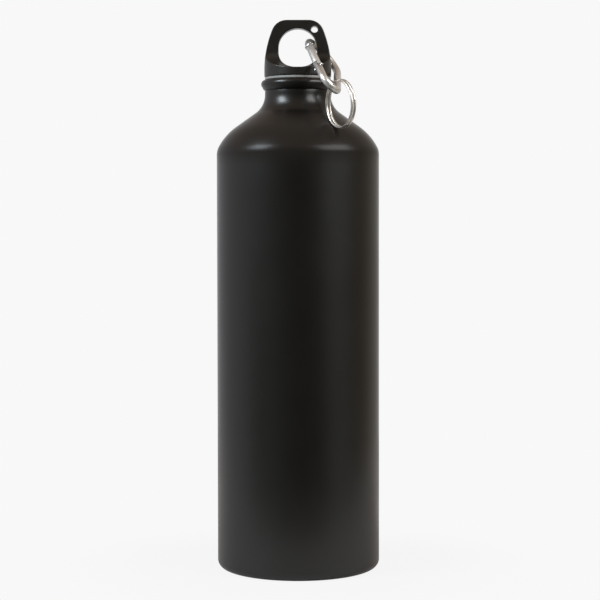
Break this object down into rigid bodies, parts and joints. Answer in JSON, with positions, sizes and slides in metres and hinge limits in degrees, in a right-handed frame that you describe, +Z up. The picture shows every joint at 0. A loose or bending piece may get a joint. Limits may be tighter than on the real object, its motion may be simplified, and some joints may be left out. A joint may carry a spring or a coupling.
{
  "type": "aluminum bottle",
  "caption": "Slim aluminium drinking bottle with a domed shoulder and a screw-in loop cap; a sprung-gate carabiner with a split ring hangs from the loop.",
  "frame": {"origin": "middle of the standing face, on the bottle's axis", "axes": "+Z up along the bottle, +X to the right of the view that the part was made from, +Y away from that view"},
  "size_m": [0.079, 0.0815, 0.2667],
  "materials": {
    "body_coating": "satin black powder coat",
    "gasket_silicone": "grey translucent silicone",
    "cap_plastic": "fine-textured black moulding",
    "disc_plastic": "smooth black moulding",
    "carabiner_aluminium": "satin polished",
    "gate_aluminium": "satin polished",
    "pin_steel": "bright drawn",
    "spring_steel": "drawn wire",
    "ring_nickel": "nickel plated"
  },
  "bodies": {
    "bottle": {"bottle_shell": "body_coating"},
    "gasket": {"cap_gasket": "gasket_silicone"},
    "cap": {"loop_cap": "cap_plastic", "plug_disc": "disc_plastic"},
    "carabiner": {"carabiner_frame": "carabiner_aluminium", "gate_rivet": "pin_steel", "gate_latch_pin": "pin_steel"},
    "gate": {"carabiner_gate": "gate_aluminium", "gate_spring": "spring_steel", "spring_plunger": "spring_steel"},
    "ring": {"split_ring": "ring_nickel"}
  },
  "joints": [
    {"name": "cap_lift", "type": "slide", "parent": "bottle", "child": "gasket", "axis": [0, 0, 1], "range_m": [0, 0.0161]},
    {"name": "cap_turn", "type": "hinge", "parent": "gasket", "child": "cap", "pos_m": [0, 0, 0.2], "axis": [0, 0, 1], "range_deg": [0, 1440]},
    {"name": "clip_swing", "type": "hinge", "parent": "cap", "child": "carabiner", "pos_m": [0.00675, 0, 0.25475], "axis": [-0.2003, -0.9678, -0.1525], "range_deg": [0, 100]},
    {"name": "gate_hinge", "type": "hinge", "parent": "carabiner", "child": "gate", "pos_m": [0.00561, -0.00571, 0.25381], "axis": [0.7296, -0.2512, 0.6361], "range_deg": [0, 10], "stiffness_Nm_per_rad": 0.05, "springref_deg": -11.46},
    {"name": "ring_swing", "type": "hinge", "parent": "carabiner", "child": "ring", "pos_m": [0.0176, -0.02829, 0.23113], "axis": [-0.4872, -0.8437, 0.2256], "range_deg": [0, 75]}
  ],
  "couplings": [
    {"joint": "cap_lift", "follows": "cap_turn", "m_per_rad": 0.00063662}
  ]
}
